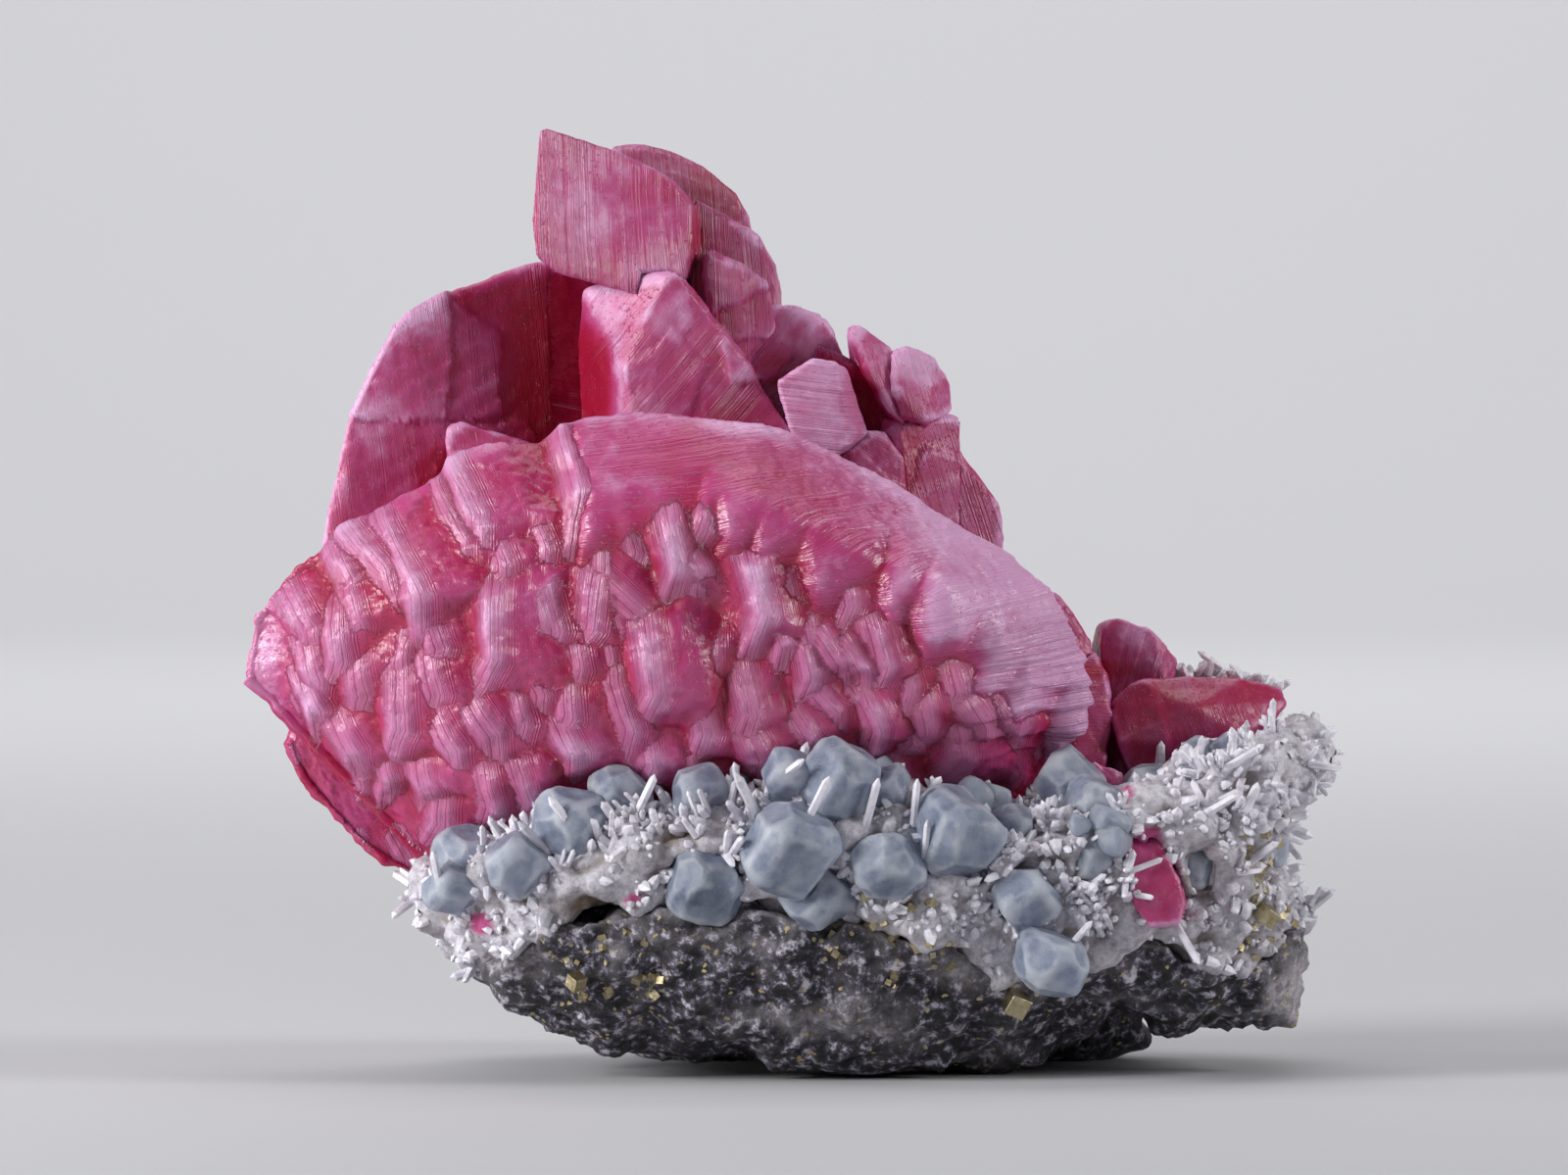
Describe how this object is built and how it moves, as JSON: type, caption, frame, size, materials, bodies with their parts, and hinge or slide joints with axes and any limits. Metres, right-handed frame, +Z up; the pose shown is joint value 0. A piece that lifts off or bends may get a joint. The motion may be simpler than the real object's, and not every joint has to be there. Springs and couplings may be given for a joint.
{
  "type": "rhodochrosite specimen",
  "caption": "Cluster of stepped pink rhombohedral crystals standing on a quartz-crusted matrix with small fluorites, quartz needles and pyrite.",
  "frame": {"origin": "middle of the bounding box's underside, on the surface that the specimen stands on", "axes": "+Z up, +X to the right seen from the display side, +Y away from the display side, so the large stepped crystal faces -Y"},
  "size_m": [0.132, 0.0784, 0.1152],
  "materials": {
    "rhodochrosite": "glossy stepped crystal faces, translucent pink",
    "fluorite": "frosted, translucent pale blue-grey",
    "quartz": "glassy, translucent white",
    "pyrite": "bright metallic",
    "crust": "sparkling drusy white quartz",
    "matrix": "rough, dark grey speckled with white and pyrite"
  },
  "bodies": {
    "root": {"fluorite_01": "fluorite", "fluorite_02": "fluorite", "fluorite_03": "fluorite", "fluorite_04": "fluorite", "fluorite_05": "fluorite", "fluorite_06": "fluorite", "fluorite_07": "fluorite", "fluorite_08": "fluorite", "fluorite_09": "fluorite", "fluorite_10": "fluorite", "fluorite_11": "fluorite", "fluorite_12": "fluorite", "fluorite_13": "fluorite", "fluorite_14": "fluorite", "fluorite_15": "fluorite", "fluorite_16": "fluorite", "fluorite_17": "fluorite", "fluorite_18": "fluorite", "fluorite_19": "fluorite", "fluorite_20": "fluorite", "fluorite_21": "fluorite", "fluorite_22": "fluorite", "fluorite_23": "fluorite", "fluorite_24": "fluorite", "matrix_rock": "matrix", "pyrite_cube_01": "pyrite", "pyrite_cube_02": "pyrite", "pyrite_cube_03": "pyrite", "quartz_crust": "crust", "quartz_needle_01": "quartz", "quartz_needle_02": "quartz", "quartz_needle_03": "quartz", "quartz_needle_04": "quartz", "quartz_needle_05": "quartz", "quartz_needle_06": "quartz", "quartz_needle_07": "quartz", "quartz_needle_08": "quartz", "quartz_needle_09": "quartz", "quartz_needle_10": "quartz", "quartz_needle_11": "quartz", "quartz_needle_12": "quartz", "quartz_needle_13": "quartz", "quartz_needle_14": "quartz", "quartz_needle_15": "quartz", "rhodochrosite_centre": "rhodochrosite", "rhodochrosite_column": "rhodochrosite", "rhodochrosite_dome": "rhodochrosite", "rhodochrosite_fan": "rhodochrosite", "rhodochrosite_front": "rhodochrosite", "rhodochrosite_left": "rhodochrosite", "rhodochrosite_long": "rhodochrosite", "rhodochrosite_notch": "rhodochrosite", "rhodochrosite_right": "rhodochrosite", "rhodochrosite_shoulder": "rhodochrosite", "rhodochrosite_small_rhomb": "rhodochrosite", "rhodochrosite_top": "rhodochrosite", "rhodochrosite_vein": "rhodochrosite"}
  },
  "joints": []
}
